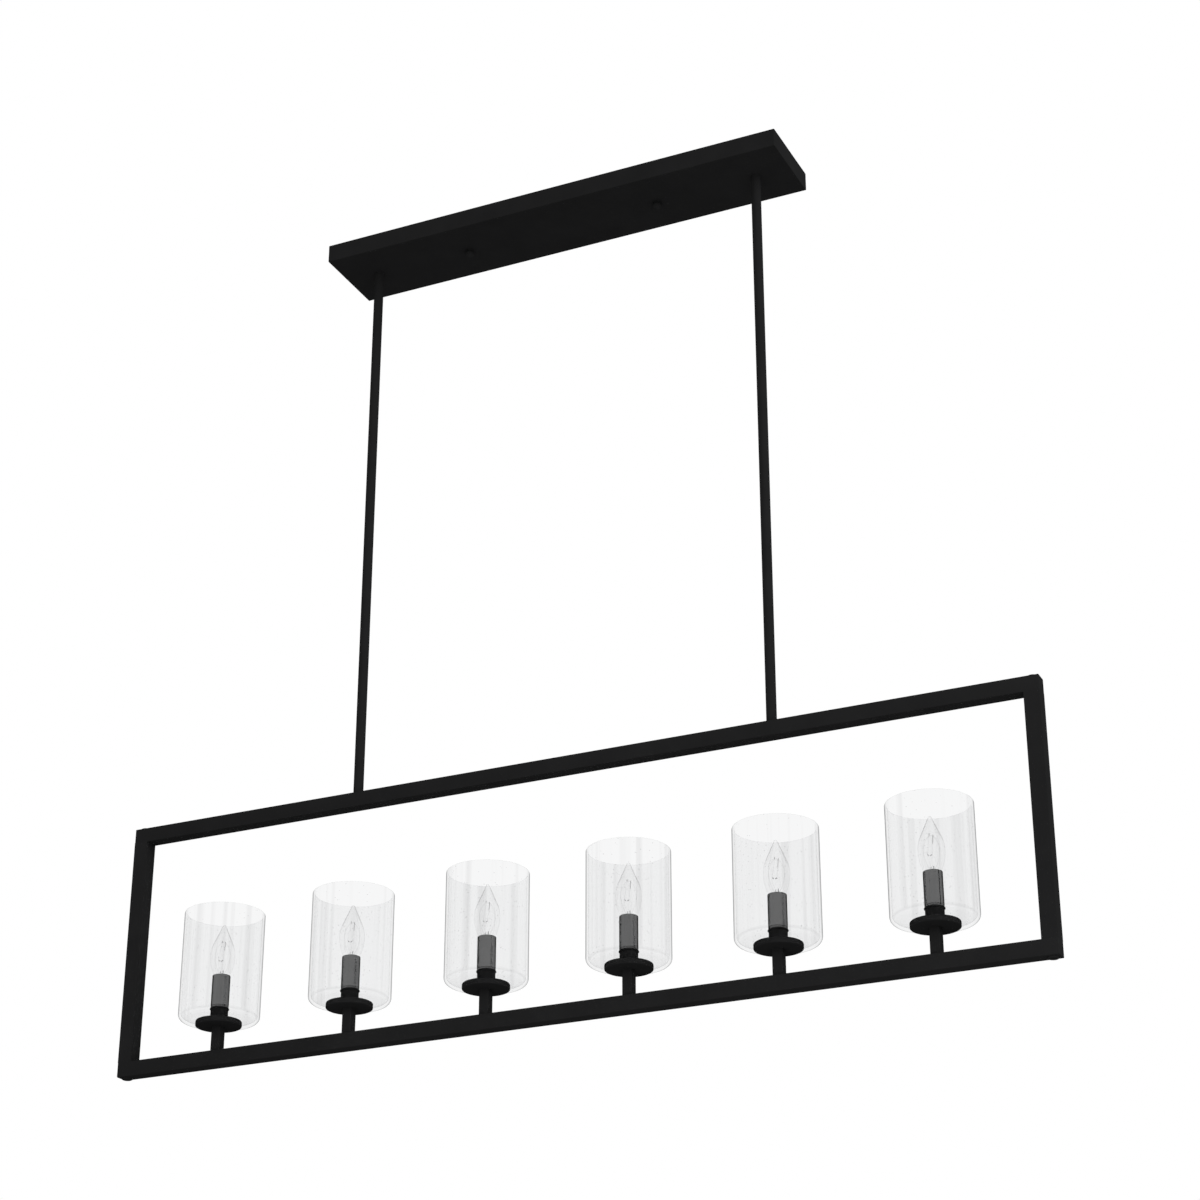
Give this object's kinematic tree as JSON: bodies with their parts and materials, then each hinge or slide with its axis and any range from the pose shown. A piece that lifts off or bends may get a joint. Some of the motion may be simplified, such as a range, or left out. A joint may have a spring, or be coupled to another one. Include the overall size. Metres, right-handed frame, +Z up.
{
  "type": "linear island pendant",
  "caption": "Linear ceiling pendant: long canopy, tube rods and a square-tube rectangle carrying a row of glass cylinders with candle bulbs.",
  "frame": {"origin": "centre of the mounting strap's top face, in the plane of the ceiling", "axes": "+Z up to the ceiling, +X along the row of lamps to the right as seen from the front, -Y towards the front"},
  "size_m": [1.2192, 0.114, 1.1298],
  "materials": {
    "powder_coat": "satin black powder coat",
    "zinc_steel": "zinc plated, satin",
    "socket_body": "matt black moulded",
    "sleeve_metal": "glossy dark grey",
    "clear_glass": "clear, lightly seeded",
    "bulb_glass": "clear, with a metal screw cap",
    "connector_plastic": "matt moulded",
    "wire_jacket": "satin insulation",
    "earth_jacket": "bare copper tone"
  },
  "bodies": {
    "fixture": {"canopy_pan": "powder_coat", "mounting_strap": "zinc_steel", "canopy_studs": "zinc_steel", "rod_left": "powder_coat", "rod_right": "powder_coat", "lock_nuts": "zinc_steel", "top_bar": "powder_coat", "bottom_bar": "powder_coat", "upright_left": "powder_coat", "upright_right": "powder_coat", "corner_plugs": "zinc_steel", "corner_screws": "powder_coat", "lamp_nipples": "zinc_steel", "wire_connectors": "connector_plastic", "supply_wires": "wire_jacket", "earth_wire": "earth_jacket", "post_1": "powder_coat", "holder_dish_1": "powder_coat", "socket_1": "socket_body", "post_2": "powder_coat", "holder_dish_2": "powder_coat", "socket_2": "socket_body", "post_3": "powder_coat", "holder_dish_3": "powder_coat", "socket_3": "socket_body", "post_4": "powder_coat", "holder_dish_4": "powder_coat", "socket_4": "socket_body", "post_5": "powder_coat", "holder_dish_5": "powder_coat", "socket_5": "socket_body", "post_6": "powder_coat", "holder_dish_6": "powder_coat", "socket_6": "socket_body"},
    "canopy_knob_left": {"canopy_knob_left": "powder_coat"},
    "canopy_knob_right": {"canopy_knob_right": "powder_coat"},
    "shade_1": {"glass_shade_1": "clear_glass"},
    "ring_1": {"shade_ring_1": "powder_coat"},
    "sleeve_1": {"candle_sleeve_1": "sleeve_metal"},
    "lamp_bulb_1": {"bulb_1": "bulb_glass"},
    "shade_2": {"glass_shade_2": "clear_glass"},
    "ring_2": {"shade_ring_2": "powder_coat"},
    "sleeve_2": {"candle_sleeve_2": "sleeve_metal"},
    "lamp_bulb_2": {"bulb_2": "bulb_glass"},
    "shade_3": {"glass_shade_3": "clear_glass"},
    "ring_3": {"shade_ring_3": "powder_coat"},
    "sleeve_3": {"candle_sleeve_3": "sleeve_metal"},
    "lamp_bulb_3": {"bulb_3": "bulb_glass"},
    "shade_4": {"glass_shade_4": "clear_glass"},
    "ring_4": {"shade_ring_4": "powder_coat"},
    "sleeve_4": {"candle_sleeve_4": "sleeve_metal"},
    "lamp_bulb_4": {"bulb_4": "bulb_glass"},
    "shade_5": {"glass_shade_5": "clear_glass"},
    "ring_5": {"shade_ring_5": "powder_coat"},
    "sleeve_5": {"candle_sleeve_5": "sleeve_metal"},
    "lamp_bulb_5": {"bulb_5": "bulb_glass"},
    "shade_6": {"glass_shade_6": "clear_glass"},
    "ring_6": {"shade_ring_6": "powder_coat"},
    "sleeve_6": {"candle_sleeve_6": "sleeve_metal"},
    "lamp_bulb_6": {"bulb_6": "bulb_glass"}
  },
  "joints": [
    {"name": "canopy_knob_left_off", "type": "slide", "parent": "fixture", "child": "canopy_knob_left", "axis": [0, 0, -1], "range_m": [0, 0.012]},
    {"name": "canopy_knob_right_off", "type": "slide", "parent": "fixture", "child": "canopy_knob_right", "axis": [0, 0, -1], "range_m": [0, 0.012]},
    {"name": "shade_1_lift", "type": "slide", "parent": "fixture", "child": "shade_1", "axis": [0, 0, 1], "range_m": [0, 0.046]},
    {"name": "shade_ring_1_lift", "type": "slide", "parent": "shade_1", "child": "ring_1", "axis": [0, 0, 1], "range_m": [0, 0.0156]},
    {"name": "candle_sleeve_1_lift", "type": "slide", "parent": "ring_1", "child": "sleeve_1", "axis": [0, 0, 1], "range_m": [0, 0.03]},
    {"name": "bulb_1_lift", "type": "slide", "parent": "sleeve_1", "child": "lamp_bulb_1", "axis": [0, 0, 1], "range_m": [0, 0.034]},
    {"name": "shade_2_lift", "type": "slide", "parent": "fixture", "child": "shade_2", "axis": [0, 0, 1], "range_m": [0, 0.046]},
    {"name": "shade_ring_2_lift", "type": "slide", "parent": "shade_2", "child": "ring_2", "axis": [0, 0, 1], "range_m": [0, 0.0156]},
    {"name": "candle_sleeve_2_lift", "type": "slide", "parent": "ring_2", "child": "sleeve_2", "axis": [0, 0, 1], "range_m": [0, 0.03]},
    {"name": "bulb_2_lift", "type": "slide", "parent": "sleeve_2", "child": "lamp_bulb_2", "axis": [0, 0, 1], "range_m": [0, 0.034]},
    {"name": "shade_3_lift", "type": "slide", "parent": "fixture", "child": "shade_3", "axis": [0, 0, 1], "range_m": [0, 0.046]},
    {"name": "shade_ring_3_lift", "type": "slide", "parent": "shade_3", "child": "ring_3", "axis": [0, 0, 1], "range_m": [0, 0.0156]},
    {"name": "candle_sleeve_3_lift", "type": "slide", "parent": "ring_3", "child": "sleeve_3", "axis": [0, 0, 1], "range_m": [0, 0.03]},
    {"name": "bulb_3_lift", "type": "slide", "parent": "sleeve_3", "child": "lamp_bulb_3", "axis": [0, 0, 1], "range_m": [0, 0.034]},
    {"name": "shade_4_lift", "type": "slide", "parent": "fixture", "child": "shade_4", "axis": [0, 0, 1], "range_m": [0, 0.046]},
    {"name": "shade_ring_4_lift", "type": "slide", "parent": "shade_4", "child": "ring_4", "axis": [0, 0, 1], "range_m": [0, 0.0156]},
    {"name": "candle_sleeve_4_lift", "type": "slide", "parent": "ring_4", "child": "sleeve_4", "axis": [0, 0, 1], "range_m": [0, 0.03]},
    {"name": "bulb_4_lift", "type": "slide", "parent": "sleeve_4", "child": "lamp_bulb_4", "axis": [0, 0, 1], "range_m": [0, 0.034]},
    {"name": "shade_5_lift", "type": "slide", "parent": "fixture", "child": "shade_5", "axis": [0, 0, 1], "range_m": [0, 0.046]},
    {"name": "shade_ring_5_lift", "type": "slide", "parent": "shade_5", "child": "ring_5", "axis": [0, 0, 1], "range_m": [0, 0.0156]},
    {"name": "candle_sleeve_5_lift", "type": "slide", "parent": "ring_5", "child": "sleeve_5", "axis": [0, 0, 1], "range_m": [0, 0.03]},
    {"name": "bulb_5_lift", "type": "slide", "parent": "sleeve_5", "child": "lamp_bulb_5", "axis": [0, 0, 1], "range_m": [0, 0.034]},
    {"name": "shade_6_lift", "type": "slide", "parent": "fixture", "child": "shade_6", "axis": [0, 0, 1], "range_m": [0, 0.046]},
    {"name": "shade_ring_6_lift", "type": "slide", "parent": "shade_6", "child": "ring_6", "axis": [0, 0, 1], "range_m": [0, 0.0156]},
    {"name": "candle_sleeve_6_lift", "type": "slide", "parent": "ring_6", "child": "sleeve_6", "axis": [0, 0, 1], "range_m": [0, 0.03]},
    {"name": "bulb_6_lift", "type": "slide", "parent": "sleeve_6", "child": "lamp_bulb_6", "axis": [0, 0, 1], "range_m": [0, 0.034]}
  ]
}
